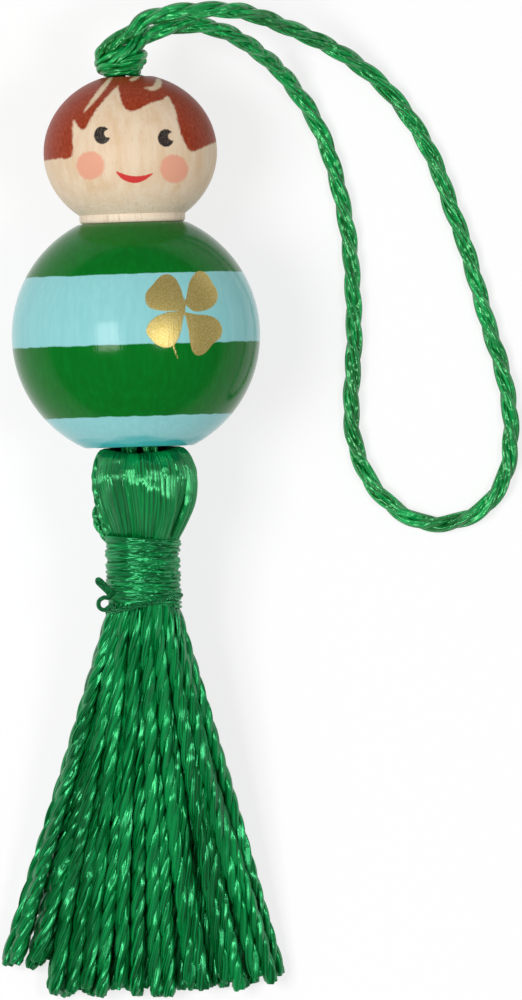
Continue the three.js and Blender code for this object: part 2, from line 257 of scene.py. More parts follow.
def softbox(name, direction, length, width, power):
    """A rectangle of light that faces the doll from a direction, with its length along the doll."""
    data = bpy.data.lights.new(name, "AREA")
    data.shape = "RECTANGLE"
    data.size = length
    data.size_y = width
    data.energy = power
    lamp = bpy.data.objects.new(name, data)
    toward = Vector(direction).normalized()
    lamp.location = at(0, 0, AXIS_Z) + toward * LAMP_AWAY
    lamp.rotation_euler = toward.to_track_quat("Z", "Y").to_euler()
    bpy.context.collection.objects.link(lamp)


def add(tree, kind, inputs=None, **settings):
    """A node with its settings, its input values and its links."""
    new = tree.nodes.new(kind)
    for name, value in settings.items():
        setattr(new, name, value)
    for name, value in (inputs or {}).items():
        if isinstance(value, bpy.types.NodeSocket):
            tree.links.new(value, new.inputs[name])
        else:
            new.inputs[name].default_value = value
    return new


def new_material(name):
    """A material with an empty node tree."""
    material = bpy.data.materials.new(name)
    material.use_nodes = True
    material.node_tree.nodes.clear()
    return material, material.node_tree


def studio():
    """A pale room with a window of two panes at the left and a softbox at the right."""
    scene = bpy.context.scene
    scene.view_settings.view_transform = "Standard"
    world = bpy.data.worlds.new("studio")
    world.use_nodes = True
    tree = world.node_tree
    tree.nodes["Background"].inputs["Color"].default_value = linear("#ffffff")
    tree.nodes["Background"].inputs["Strength"].default_value = ROOM_LIGHT
    scene.world = world
    softbox("window_left_pane", (-0.52, -0.02, 0.86), PANE_LONG, PANE_WIDE, PANE_POWER)
    softbox("window_right_pane", (-0.34, -0.02, 0.92), PANE_LONG, PANE_WIDE, PANE_POWER)
    softbox("small_softbox", (0.41, -0.08, 0.91), SOFTBOX_LONG, SOFTBOX_WIDE, SOFTBOX_POWER)


def table_top():
    """Matt white laminate: even and pale, lifted to white for the camera, with the doll's soft shadow."""
    material, tree = new_material("white_laminate")
    rays = add(tree, "ShaderNodeLightPath")
    seen = add(tree, "ShaderNodeMath", {0: rays.outputs["Is Camera Ray"], 1: rays.outputs["Is Glossy Ray"]},
               operation="MAXIMUM")
    seen = add(tree, "ShaderNodeMath", {0: seen.outputs[0], 1: rays.outputs["Is Transmission Ray"]},
               operation="MAXIMUM")
    lift = add(tree, "ShaderNodeMath", {0: seen.outputs[0], 1: TABLE_GLOW}, operation="MULTIPLY")
    white = mixed(tree, seen.outputs[0], linear("#f2f2f2"), linear("#8c8c8c"))
    shader = add(tree, "ShaderNodeBsdfPrincipled", {
        "Base Color": white, "Roughness": 0.9, "Specular IOR Level": 0.1,
        "Emission Color": linear("#ffffff"), "Emission Strength": lift.outputs[0]})
    add(tree, "ShaderNodeOutputMaterial", {"Surface": shader.outputs[0]})
    bm = bmesh.new()
    bmesh.ops.create_grid(bm, x_segments=1, y_segments=1, size=TABLE_HALF)
    bmesh.ops.translate(bm, verts=bm.verts, vec=(0, 0, -TABLE_BELOW))
    mesh = bpy.data.meshes.new("table_top")
    bm.to_mesh(mesh)
    bm.free()
    mesh.materials.append(material)
    table = bpy.data.objects.new("table_top", mesh)
    bpy.context.collection.objects.link(table)


# Lines that cords and yarns follow


def smooth(points, step):
    """Even steps along a smooth curve through the points."""
    p = np.array(points, float)
    p = np.vstack([2 * p[0] - p[1], p, 2 * p[-1] - p[-2]])
    t = np.linspace(0, 1, 24, endpoint=False)[:, None]
    runs = []
    for a, b, c, d in zip(p, p[1:], p[2:], p[3:]):
        runs.append(b + t * (c - a) / 2 + t ** 2 * (a - 2.5 * b + 2 * c - d / 2)
                    + t ** 3 * (1.5 * b - a / 2 - 1.5 * c + d / 2))
    fine = np.vstack(runs + [p[-2:-1]])
    along = distance_along(fine)
    even = np.linspace(0, along[-1], max(2, round(along[-1] / step) + 1))
    return np.column_stack([np.interp(even, along, fine[:, k]) for k in range(p.shape[1])])


def distance_along(line):
    """The distance of each point of a line from its start, along the line."""
    return np.concatenate([[0], np.cumsum(np.linalg.norm(np.diff(line, axis=0), axis=1))])


def unit(vectors):
    """The same directions at a length of one."""
    return vectors / np.linalg.norm(vectors, axis=-1, keepdims=True)


def twisted(line, plies, lay, spread, hand, start=0.0):
    """The middle lines of the plies of a twisted cord: hand is 1 for Z twist and -1 for S twist."""
    heading = unit(np.gradient(line, axis=0))
    side = [unit(np.cross(heading[0], (0.3, 0.5, 0.8)))]
    for ahead in heading[1:]:
        side.append(unit(side[-1] - ahead * side[-1].dot(ahead)))
    side = np.array(side)
    over = np.cross(heading, side)
    turn = start + hand * 2 * math.pi * distance_along(line) / lay
    for ply in range(plies):
        angle = (turn + 2 * math.pi * ply / plies)[:, None]
        yield line + spread * (np.cos(angle) * side + np.sin(angle) * over)


def tubes(name, lines, radius, material, sides=8, taper=None):
    """One mesh of capped tubes along lines of places on the doll."""
    curve = bpy.data.curves.new(name, "CURVE")
    curve.dimensions = "3D"
    curve.bevel_depth = radius * MM
    curve.bevel_resolution = sides // 2 - 2
    curve.use_fill_caps = True
    for line in lines:
        spline = curve.splines.new("POLY")
        spline.points.add(len(line) - 1)
        for point, place in zip(spline.points, line):
            point.co = (*at(*place), 1)
        if taper is not None:
            shares = np.linspace(0, 1, len(line))
            spline.points.foreach_set("radius", [taper(share) for share in shares])
    drawn = bpy.data.objects.new(name + "_line", curve)
    bpy.context.collection.objects.link(drawn)
    graph = bpy.context.evaluated_depsgraph_get()
    mesh = bpy.data.meshes.new_from_object(drawn.evaluated_get(graph))
    bpy.data.objects.remove(drawn)
    mesh.name = name
    mesh.materials.clear()
    mesh.materials.append(material)
    piece = bpy.data.objects.new(name, mesh)
    bpy.context.collection.objects.link(piece)
    return piece


# Satin yarn: crimp and dash are the height and length of its waves, slant is the turn of its fibres,
# spread is how far its shine draws out across them, and index and level are how strong that shine is
# Greens: the filaments' dark and light tones; the dark one also serves as painted shade in the grooves
# between them
YARN_GREENS = ("#003810", "#008e44")
CORD_LOOK = {
    "greens": ("#005418", "#00ae56"), "crimp": 0.5, "dash": 0.9, "slant": 0.0, "spread": 0.5,
    "roughness": 0.33, "coat": 0.3, "shine": "#90ffac", "index": 1.85, "level": 0.75,
}
FOLD_LOOK = {
    "greens": YARN_GREENS, "crimp": 0.4, "dash": 1.5, "slant": 0.0, "spread": 1.0,
    "roughness": 0.34, "coat": 0.0, "shine": "#7cffae", "index": 2.0, "level": 1.0,
}
THREAD_LOOK = {**FOLD_LOOK, "crimp": 0.8, "dash": 0.8, "roughness": 0.36, "shine": "#6cffac"}
SKIRT_LOOK = {
    "greens": YARN_GREENS, "crimp": 1.4, "dash": 2.6, "slant": -0.04, "spread": 0.8,
    "roughness": 0.28, "coat": 0.2, "shine": "#58ffa6", "index": 1.85, "level": 0.75,
}
FILAMENT_WIDE = 0.2
FILAMENT_LONG = 10
FILAMENT_DEEP = 0.08
WAVE_SLENDER = 2.2
OWN_PATTERN = (0.4, 0.05, 0.4)


def satin_yarn(name, radius, length, greens, crimp, dash, slant, spread, roughness, coat, shine, index,
               level):
    """Twisted viscose: fine filaments, bright in dashes where they bend to the light and dark between, with
    painted shade in their grooves.

    Radius and length are roughly those of one ply, and set the pattern's scale in millimetres.
    The filaments are drawn 0.2 mm wide, coarser than real ones, so that they show at the photograph's size.
    """
    material, tree = new_material(name)
    uv = add(tree, "ShaderNodeUVMap", uv_map="UVMap")
    parts = add(tree, "ShaderNodeSeparateXYZ", {0: uv.outputs[0]})
    along = add(tree, "ShaderNodeMath", {0: parts.outputs[0], 1: length}, operation="MULTIPLY").outputs[0]
    turn = add(tree, "ShaderNodeMath", {0: parts.outputs[1], 1: 2 * math.pi}, operation="MULTIPLY")
    round_x = add(tree, "ShaderNodeMath", {0: turn.outputs[0]}, operation="COSINE").outputs[0]
    round_y = add(tree, "ShaderNodeMath", {0: turn.outputs[0]}, operation="SINE").outputs[0]
    on_ply = add(tree, "ShaderNodeCombineXYZ", {0: round_x, 1: round_y, 2: along}).outputs[0]
    on_doll = object_millimetres(tree)
    own = add(tree, "ShaderNodeVectorMath", {0: on_doll, 1: OWN_PATTERN}, operation="MULTIPLY")

    def yarn_noise(across, lengthwise, detail):
        """Noise that follows the yarn, with patches of a size in millimetres, other on each yarn."""
        drawn = add(tree, "ShaderNodeMapping", {
            "Vector": on_ply, "Scale": (radius / across, radius / across, 1 / lengthwise)})
        place = add(tree, "ShaderNodeVectorMath", {0: drawn.outputs[0], 1: own.outputs[0]}, operation="ADD")
        return add(tree, "ShaderNodeTexNoise", {
            "Vector": place.outputs[0], "Scale": 1.0, "Detail": detail}).outputs[0]

    filaments = yarn_noise(FILAMENT_WIDE, FILAMENT_LONG, 1.0)
    # Filament colour follows the same noise as the groove bump: partly the fibres' own varying tone, partly
    # painted shade darkening the grooves
    tone_and_groove_shade = ramp(tree, filaments, (0.36, greens[0]), (0.64, greens[1]))
    waves = add(tree, "ShaderNodeBump", {
        "Height": yarn_noise(dash / WAVE_SLENDER, dash, 0.0), "Strength": 1.0, "Distance": crimp * MM})
    grooves = add(tree, "ShaderNodeBump", {
        "Height": filaments, "Strength": 1.0, "Distance": FILAMENT_DEEP * MM,
        "Normal": waves.outputs[0]})
    fibres = add(tree, "ShaderNodeTangent", direction_type="UV_MAP", uv_map="UVMap")
    shader = add(tree, "ShaderNodeBsdfPrincipled", {
        "Base Color": tone_and_groove_shade, "Roughness": roughness, "IOR": index, "Specular IOR Level": level,
        "Specular Tint": linear(shine), "Anisotropic": spread, "Anisotropic Rotation": 0.25 + slant,
        "Coat Weight": coat, "Coat Roughness": 0.28, "Coat Normal": grooves.outputs[0],
        "Tangent": fibres.outputs[0], "Normal": grooves.outputs[0]})
    add(tree, "ShaderNodeOutputMaterial", {"Surface": shader.outputs[0]})
    return material


def cord_plies(points):
    """A run of the cord past points with y from the knot's foot: its middle line and its plies."""
    route = smooth([(x, y + KNOT_FOOT, z) for x, y, z in points], CORD_STEP)
    return route, list(twisted(route, CORD_PLIES, CORD_LAY, PLY_SPREAD, -1))


def knot_and_loop():
    """The free loop with both its ends drawn into the knot on the head, in one run of cord."""
    route, plies = cord_plies(KNOT_UPPER + LOOP_ROUTE + KNOT_LOWER)
    exits = [np.array(end) + (0, KNOT_FOOT, 0) for end in (LOOP_ROUTE[0], LOOP_ROUTE[-1])]
    first, last = [np.argmin(np.linalg.norm(route - place, axis=1)) for place in exits]
    free = route[first:last + 1]
    length = distance_along(free)[-1]
    satin = satin_yarn("satin_cord", PLY_R, length, **CORD_LOOK)
    loop = tubes("loop_cord", [ply[first:last + 1] for ply in plies], PLY_R, satin, CORD_SIDES)
    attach(loop, "cord")
    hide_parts("hanging_loop")
    path = [tuple(at(*place)) for place in free[::6]] + [tuple(at(*free[-1]))]
    collar = [(KNOT_COLLAR_X + KNOT_COLLAR_R * math.cos(angle), KNOT_COLLAR_Y,
               AXIS_Z + KNOT_COLLAR_R * math.sin(angle))
              for angle in np.linspace(-0.5 * math.pi, 1.5 * math.pi, 17)]
    turns = [ply[:first + 1] for ply in plies] + [ply[last:] for ply in plies]
    for run in (collar, KNOT_BEND, KNOT_HEART):
        turns += cord_plies(run)[1]
    satin = satin_yarn("satin_knot", PLY_R, KNOT_LENGTH, **CORD_LOOK)
    knot = tubes("knot_cord", turns, PLY_R, satin, CORD_SIDES)
    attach(knot, "cord")
    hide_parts("top_knot")


# Turned beads


def eased(start, corner, end, count):
    """A rounded edge: a curve from start to end that leans towards the corner."""
    start, corner, end = (np.array(point) for point in (start, corner, end))
    shares = np.linspace(0, 1, count + 1)[:, None]
    return (1 - shares) ** 2 * start + 2 * shares * (1 - shares) * corner + shares ** 2 * end


def side_arc(radius, half_height, centre, low, high, count):
    """The curved side of a bead as distances from its axis and heights."""
    start = math.asin((low - centre) / half_height)
    end = math.asin((high - centre) / half_height)
    angles = np.linspace(start, end, count + 1)
    return np.column_stack([radius * np.cos(angles), centre + half_height * np.sin(angles)])


def turned_bead(name, side, low, high, around):
    """A bead spun on the doll's axis: bore, eased bore edges and flat ends, with a given side."""
    profile = [(BORE_R, low + BORE_EDGE), (BORE_R + BORE_EDGE, low), *side,
               (BORE_R + BORE_EDGE, high), (BORE_R, high - BORE_EDGE)]
    bm = bmesh.new()
    points = [bm.verts.new(at(r, y, AXIS_Z)) for r, y in profile]
    edges = [bm.edges.new(pair) for pair in zip(points, points[1:] + points[:1])]
    bmesh.ops.spin(bm, geom=points + edges, cent=at(0, 0, AXIS_Z), axis=(0, 1, 0), angle=2 * math.pi,
                   steps=around, use_merge=True)
    bmesh.ops.recalc_face_normals(bm, faces=bm.faces)
    for face in bm.faces:
        face.smooth = True
    mesh = bpy.data.meshes.new(name)
    bm.to_mesh(mesh)
    bm.free()
    mesh.set_sharp_from_angle(angle=math.radians(30))
    bead = bpy.data.objects.new(name, mesh)
    bpy.context.collection.objects.link(bead)
    return bead


def places_on(mesh):
    """Where the mesh's points are on the doll: x, y and z in millimetres."""
    flat = np.empty(3 * len(mesh.vertices))
    mesh.vertices.foreach_get("co", flat)
    places = flat.reshape(-1, 3) / MM
    return places[:, 0] - MIDDLE.x, places[:, 1] - MIDDLE.y, places[:, 2]


def depth_inside(outline, x, y):
    """How deep places lie inside a closed outline, in millimetres: negative outside it."""
    corners = np.array(outline)
    nearest = np.full(len(x), np.inf)
    odd = np.zeros(len(x), bool)
    for (ax, ay), (bx, by) in zip(corners, np.roll(corners, -1, axis=0)):
        run = bx - ax
        rise = by - ay
        share = np.clip(((x - ax) * run + (y - ay) * rise) / (run ** 2 + rise ** 2), 0, 1)
        nearest = np.minimum(nearest, np.hypot(x - ax - share * run, y - ay - share * rise))
        if rise:
            odd ^= ((ay > y) != (by > y)) & (x < ax + (y - ay) * run / rise)
    return np.where(odd, nearest, -nearest)


def rounded(corners):
    """A closed outline that runs smoothly through the corners given."""
    return smooth(corners + corners[:1], FINE_STEP)[:-1]


def mark(mesh, name, values):
    """Keeps a value for each point of the mesh, for its paint to read."""
    mesh.attributes.new(name, "FLOAT", "POINT").data.foreach_set("value", values)


# The painted face, seen from the front
HAIRLINE = [
    (-8.59, 17.67), (-7.25, 17.78), (-5.83, 17.92), (-5.69, 19.68), (-5.53, 21.58), (-4.93, 20.7),
    (-4.44, 20.62), (-3.84, 21.53), (-3.04, 22.74), (-1.16, 24.73), (-0.95, 24.51), (-0.64, 23.05),
    (-0.22, 22.45), (0.3, 22.24), (0.96, 22.4), (2.15, 22.97), (3.33, 23.29), (3.93, 23.64), (4.6, 22.37),
    (4.91, 20.82), (5.29, 19.41), (5.81, 18.33), (6.29, 18.07), (7.07, 18.36), (8.64, 19.05),
]
OVER_THE_TOP = [(11, 19), (11, 30), (-11, 30), (-11, 17.67)]
NAPE_Y = 18.36
NAPE_SLOPE = 0.08
NAPE_FALL = 2.2
BARE_STREAKS = [
    [(-1.55, 25.78), (-2.02, 25.58), (-3.09, 24.36), (-4.0, 23.14), (-4.47, 22.28), (-3.11, 23.63),
     (-2.04, 24.92)],
    [(0.17, 25.44), (0.55, 25.72), (1.29, 25.92), (0.99, 25.56), (0.46, 25.31)],
    [(1.62, 24.59), (2.5, 24.78), (2.85, 25.43), (3.18, 25.49), (3.39, 24.97), (3.08, 24.47),
     (2.41, 24.27)],
]
EYES = [(-2.71, 19.92), (3.64, 19.46)]
EYE_WIDE = 1.62
EYE_TALL = 1.78
GLINT_X = 0.62
GLINT_Y = 0.14
GLINT_R = 0.4
CHEEKS = [(-3.98, 16.95), (4.36, 16.37)]
CHEEK_R = 1.4
MOUTH = [
    (-1.53, 16.39), (-0.7, 16.0), (0.32, 15.75), (1.35, 15.79), (2.28, 16.01),
    (1.78, 15.56), (1.03, 15.17), (0.3, 15.06), (-0.57, 15.33), (-1.18, 15.82),
]

# The four gold leaves and their stalk
CLOVER = [
    [(5.04, 2.89), (4.66, 4.4), (4.16, 5.41), (3.43, 5.86), (2.67, 5.65), (1.85, 4.81), (1.18, 4.01),
     (1.2, 3.01), (1.75, 2.46), (2.9, 2.21), (4.06, 2.21), (4.97, 2.06)],
    [(4.99, 2.89), (5.27, 3.88), (5.56, 5.03), (6.17, 5.93), (6.83, 6.07), (7.4, 5.64), (7.87, 4.8),
     (8.29, 3.95), (8.24, 3.13), (7.72, 2.48), (6.88, 2.14), (5.88, 2.12)],
    [(4.97, 2.15), (4.22, 2.12), (3.31, 2.03), (2.22, 1.7), (1.4, 1.01), (1.11, 0.16), (1.65, -0.69),
     (2.3, -1.25), (3.2, -1.46), (3.96, -1.09), (4.49, -0.08), (4.78, 1.24)],
    [(4.97, 2.06), (6.04, 1.78), (7.2, 1.66), (8.18, 1.22), (8.65, 0.29), (8.46, -0.56), (7.64, -1.25),
     (7.0, -1.98), (6.33, -2.32), (5.72, -2.02), (5.45, -1.1), (5.29, 0.23)],
    [(3.64, -1.18), (3.84, -1.86), (4.1, -2.56), (4.22, -2.5), (4.04, -1.92), (3.84, -1.25)],
]

# The body's stripes: the heights where its paint changes, and how soft and how wavy the edges are
STRIPE_EDGES = (-8.0, -0.85, 6.15)
STRIPE_LOW = -12.15
STRIPE_HIGH = 12.85
STRIPE_SOFT = 0.0375
STRIPE_WAVE = 0.3


def hair_depth(x, y, z):
    """Brown over the crown and the back of the head, with locks and bare streaks in front."""
    front = depth_inside(np.vstack([smooth(HAIRLINE, FINE_STEP), OVER_THE_TOP]), x, y)
    for streak in BARE_STREAKS:
        front = np.minimum(front, -depth_inside(rounded(streak), x, y))
    nape = NAPE_Y + NAPE_SLOPE * x - NAPE_FALL * (AXIS_Z - z) / HEAD_R
    return np.where(z >= AXIS_Z, front, y - nape)


def eye_depth(eye, x, y):
    """A round eye with a round glint bitten out of its right side."""
    across = (x - eye[0]) / (EYE_WIDE / 2)
    up = (y - eye[1]) / (EYE_TALL / 2)
    disc = EYE_WIDE / 2 * (1 - np.hypot(across, up))
    glint = GLINT_R - np.hypot(x - eye[0] - GLINT_X, y - eye[1] - GLINT_Y)
    return np.minimum(disc, -glint)


def in_front(values, z):
    """Keeps a mark to the front half of a bead."""
    return np.where(z > AXIS_Z, values, -1)


def object_millimetres(tree):
    """The piece's own coordinates in millimetres from the middle of the body bead."""
    own = add(tree, "ShaderNodeTexCoord")
    return add(tree, "ShaderNodeMapping", {
        "Vector": own.outputs["Object"], "Scale": (1 / MM,) * 3, "Location": -MIDDLE}).outputs[0]


def stretched_noise(tree, place, wide, tall, detail=2.0):
    """Noise whose patches are wide across the doll and tall along it, in millimetres."""
    drawn = add(tree, "ShaderNodeMapping", {"Vector": place, "Scale": (1 / wide, 1 / tall, 1 / wide)})
    noise = add(tree, "ShaderNodeTexNoise", {"Vector": drawn.outputs[0], "Scale": 1.0, "Detail": detail})
    return noise.outputs[0]


def ramp(tree, value, *stops):
    """Colours or greys along a value: (position, colour) stops."""
    new = add(tree, "ShaderNodeValToRGB", {0: value})
    for _ in stops[2:]:
        new.color_ramp.elements.new(0.5)
    for element, (position, code) in zip(new.color_ramp.elements, stops):
        element.position = position
        element.color = linear(code)
    return new.outputs[0]


def mixed(tree, share, first, second):
    """One colour over another."""
    return add(tree, "ShaderNodeMix", {0: share, 6: first, 7: second}, data_type="RGBA").outputs[2]


def painted_share(tree, name, place, edge, rough):
    """How far a mark covers the wood: its edge follows the grain a little, as a brushed edge does."""
    depth = add(tree, "ShaderNodeAttribute", attribute_name=name).outputs["Fac"]
    grain = stretched_noise(tree, place, 0.25, 0.6)
    moved = add(tree, "ShaderNodeMath", {0: grain, 1: rough, 2: depth}, operation="MULTIPLY_ADD")
    return add(tree, "ShaderNodeMapRange", {
        0: moved.outputs[0], 1: rough / 2 - edge, 2: rough / 2 + edge}).outputs[0]


def beech(tree, place, pores):
    """Pale wood with grain and pores along the doll, cracked and scuffed towards the neck, and made paler
    there as painted light on the shaded underside of the chin.
    """
    streaks = stretched_noise(tree, place, 0.9, 9, 3.0)
    wood = ramp(tree, streaks, (0.3, "#e3c5a0"), (0.5, "#e9cfb0"), (0.7, "#eed9bd"))
    pored = ramp(tree, pores, (0.62, "#000000"), (0.74, "#ffffff"))
    faint = add(tree, "ShaderNodeMath", {0: pored, 1: 0.28}, operation="MULTIPLY").outputs[0]
    wood = mixed(tree, faint, wood, linear("#c39d73"))
    height = add(tree, "ShaderNodeSeparateXYZ", {0: place}).outputs[1]
    low = add(tree, "ShaderNodeMapRange", {0: height, 1: HEAD_SEAT + 3.2, 2: HEAD_SEAT}).outputs[0]
    # Painted light: the wood turns paler towards the neck to lift the shade that falls under the chin
    wood = mixed(tree, low, wood, linear("#f2dfc8"))
    cracks = ramp(tree, stretched_noise(tree, place, 0.25, 3, 2.0), (0.52, "#000000"), (0.7, "#ffffff"))
    scuffs = ramp(tree, stretched_noise(tree, place, 0.9, 0.3, 3.0), (0.55, "#000000"), (0.72, "#ffffff"))
    worn = add(tree, "ShaderNodeMath", {0: low, 1: 0.5}, operation="MULTIPLY").outputs[0]
    cracked = add(tree, "ShaderNodeMath", {0: worn, 1: cracks}, operation="MULTIPLY").outputs[0]
    scuffed = add(tree, "ShaderNodeMath", {0: worn, 1: scuffs}, operation="MULTIPLY").outputs[0]
    wood = mixed(tree, cracked, wood, linear("#b59a75"))
    return mixed(tree, scuffed, wood, linear("#fbf4ea"))


def painted_head():
    """Sanded beech under thin clear varnish, with the face and hair brushed on in thin paint."""
    material, tree = new_material("varnished_beech")
    place = object_millimetres(tree)
    pores = stretched_noise(tree, place, 0.16, 1.1, 1.0)
    wood = beech(tree, place, pores)
    cheeks = painted_share(tree, "cheeks", place, 0.12, 0.3)
    wood = mixed(tree, cheeks, wood, linear("#eaa88c"))
    mottle = stretched_noise(tree, place, 0.22, 0.5, 4.0)
    brown = ramp(tree, mottle, (0.3, "#8c2b10"), (0.5, "#9b3a1d"), (0.72, "#a84d33"))
    wood = mixed(tree, painted_share(tree, "hair", place, 0.1, 0.3), wood, brown)
    wood = mixed(tree, painted_share(tree, "mouth", place, 0.04, 0.1), wood, linear("#d63f3c"))
    specks = stretched_noise(tree, place, 0.12, 0.12, 1.0)
    ink = ramp(tree, specks, (0.45, "#241f1e"), (0.75, "#6b6058"))
    wood = mixed(tree, painted_share(tree, "eyes", place, 0.05, 0.12), wood, ink)
    bump = add(tree, "ShaderNodeBump", {"Height": pores, "Strength": 0.25, "Distance": 0.08 * MM})
    shader = add(tree, "ShaderNodeBsdfPrincipled", {
        "Base Color": wood, "Roughness": 0.4, "Specular IOR Level": 0.14, "Normal": bump.outputs[0]})
    add(tree, "ShaderNodeOutputMaterial", {"Surface": shader.outputs[0]})
    return material


def stripe_stops():
    """The stops of a ramp up the body bead: white where its paint is blue, black where it is green."""
    codes = ["#ffffff", "#000000", "#ffffff", "#000000"]
    stops = []
    for edge, below, above in zip(STRIPE_EDGES, codes, codes[1:]):
        for place, code in ((edge - STRIPE_SOFT, below), (edge + STRIPE_SOFT, above)):
            stops.append(((place - STRIPE_LOW) / (STRIPE_HIGH - STRIPE_LOW), code))
    return stops


def striped_paint(tree, place):
    """Green and pale blue stripes with wavy edges, brushed lengthwise, and dabbed darker at the foot."""
    height = add(tree, "ShaderNodeSeparateXYZ", {0: place}).outputs[1]
    wave = stretched_noise(tree, place, 1.6, 1.6, 3.0)
    wavy = add(tree, "ShaderNodeMath", {0: wave, 1: STRIPE_WAVE, 2: height}, operation="MULTIPLY_ADD")
    level = add(tree, "ShaderNodeMapRange", {0: wavy.outputs[0], 1: STRIPE_LOW, 2: STRIPE_HIGH}).outputs[0]
    band = ramp(tree, level, *stripe_stops())
    brush = stretched_noise(tree, place, 0.5, 5, 3.0)
    green = ramp(tree, brush, (0.3, "#006a1a"), (0.55, "#00701d"), (0.75, "#007723"))
    blue = ramp(tree, brush, (0.3, "#8ccfd1"), (0.55, "#92d3d5"), (0.75, "#98d7d8"))
    strokes = stretched_noise(tree, place, 4, 0.7, 3.0)
    dabbed = add(tree, "ShaderNodeMath", {0: strokes, 1: -1.6, 2: height}, operation="MULTIPLY_ADD")
    low = add(tree, "ShaderNodeMapRange", {0: dabbed.outputs[0], 1: -10.9, 2: -11.6}).outputs[0]
    blue = mixed(tree, low, blue, linear("#45bcc0"))
    return mixed(tree, band, green, blue)


def painted_body():
    """Hand-painted lacquer on a turned bead: glossy, a little streaky, with a leaf in gold paint."""
    material, tree = new_material("brushed_lacquer")
    place = object_millimetres(tree)
    paint = striped_paint(tree, place)
    gold = painted_share(tree, "clover", place, 0.04, 0.1)
    flakes = stretched_noise(tree, place, 0.14, 0.14, 2.0)
    leaf = ramp(tree, flakes, (0.3, "#bda552"), (0.5, "#ccb76e"), (0.7, "#dccb90"))
    paint = mixed(tree, gold, paint, leaf)
    metal = add(tree, "ShaderNodeMath", {0: gold, 1: 0.75}, operation="MULTIPLY").outputs[0]
    gloss = add(tree, "ShaderNodeMapRange", {0: gold, 3: 0.13, 4: 0.4}).outputs[0]
    ridges = stretched_noise(tree, place, 0.22, 4, 2.0)
    relief = add(tree, "ShaderNodeMath", {0: flakes, 1: gold, 2: ridges}, operation="MULTIPLY_ADD")
    bump = add(tree, "ShaderNodeBump", {
        "Height": relief.outputs[0], "Strength": 0.25, "Distance": 0.05 * MM})
    shader = add(tree, "ShaderNodeBsdfPrincipled", {
        "Base Color": paint, "Metallic": metal, "Roughness": gloss, "Specular IOR Level": 0.16,
        "Normal": bump.outputs[0]})
    add(tree, "ShaderNodeOutputMaterial", {"Surface": shader.outputs[0]})
    return material


def head_bead():
    """The smaller bead, with a plain ring at the neck, and where its hair and face are painted."""
    crown_r = BORE_R + BORE_EDGE + CROWN_WIDE
    shoulder = HEAD_CENTRE + HEAD_HALF_HEIGHT * math.sqrt(1 - (crown_r / HEAD_R) ** 2)
    ring_top = HEAD_CENTRE - HEAD_HALF_HEIGHT * math.sqrt(1 - (NECK_RING_R / HEAD_R) ** 2)
    arc = side_arc(HEAD_R, HEAD_HALF_HEIGHT, HEAD_CENTRE, ring_top, shoulder, HEAD_STEPS)
    foot = BODY_FLAT + HEAD_GAP
    ring = eased((NECK_RING_R - RING_EDGE_WIDE, foot), (NECK_RING_R, foot),
                 (NECK_RING_R, HEAD_SEAT + RING_EDGE_TALL), EDGE_STEPS)
    head = turned_bead("head_of_beech", [*ring, *arc], foot, shoulder + CROWN_RISE, HEAD_AROUND)
    mesh = head.data
    x, y, z = places_on(mesh)
    mark(mesh, "hair", hair_depth(x, y, z))
    eyes = [eye_depth(eye, x, y) for eye in EYES]
    mark(mesh, "eyes", in_front(np.maximum(*eyes), z))
    cheeks = [CHEEK_R - np.hypot(x - cheek_x, y - cheek_y) for cheek_x, cheek_y in CHEEKS]
    mark(mesh, "cheeks", in_front(np.maximum(*cheeks), z))
    mark(mesh, "mouth", in_front(depth_inside(rounded(MOUTH), x, y), z))
    mesh.materials.append(painted_head())
    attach(head, "head")
    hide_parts("head_bead")


def body_bead():
    """The larger bead, a ball with flat ends, and where its clover is painted."""
    edge = BODY_FLAT - BODY_EDGE_TALL
    arc = side_arc(BODY_R, BODY_R, 0, -edge, edge, BODY_STEPS)
    flat_r = math.sqrt(BODY_R ** 2 - BODY_FLAT ** 2)
    upper = eased(arc[-1], (flat_r + BODY_EDGE_LEAN, BODY_FLAT), (flat_r - BODY_EDGE_WIDE, BODY_FLAT),
                  EDGE_STEPS)[1:]
    lower = [(r, -y) for r, y in upper[::-1]]
    body = turned_bead("painted_body", [*lower, *arc, *upper], -BODY_FLAT, BODY_FLAT, BODY_AROUND)
    mesh = body.data
    x, y, z = places_on(mesh)
    leaves = np.max([depth_inside(rounded(leaf), x, y) for leaf in CLOVER], axis=0)
    mark(mesh, "clover", in_front(leaves, z))
    mesh.materials.append(painted_body())
    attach(body, "body")
    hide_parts("body_bead")


def core_cord(cord):
    """The doubled cord inside the beads, and the bight that the tassel hangs on."""
    legs = [HEAD_TOP, HEAD_CENTRE, BODY_FLAT, 0, LEG_STRAIGHT - BODY_FLAT, -BODY_FLAT]
    left = [(-LEG_X, y, AXIS_Z) for y in legs]
    bight = [(BIGHT_R * math.cos(angle), BIGHT_R * math.sin(angle) - BODY_FLAT - BIGHT_DROP, AXIS_Z)
             for angle in np.linspace(math.pi, 2 * math.pi, 9)]
    right = [(LEG_X, y, AXIS_Z) for y in legs[::-1]]
    plies = twisted(smooth(left + bight + right, CORE_STEP), CORD_PLIES, CORD_LAY, PLY_SPREAD, -1)
    core = tubes("core_cord_plies", plies, CORE_PLY_R, cord, CORD_SIDES)
    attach(core, "cord")
    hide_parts("core_cord")


# Tassel


def bent_run(drop):
    """How much of a drop counts towards the tassel's fall: nothing at the bead, all of it past the bend."""
    drop = np.asarray(drop, float)
    share = np.clip(drop / TASSEL_BEND, 0, 1)
    return TASSEL_BEND * (share ** 3 - share ** 4 / 2) + np.maximum(drop - TASSEL_BEND, 0)


def axis_height(drop):
    """Height of the tassel's axis: level where it leaves the bead, then straight down to the table."""
    return AXIS_Z - (AXIS_Z - LYING_Z) * bent_run(drop) / bent_run(SKIRT_END)


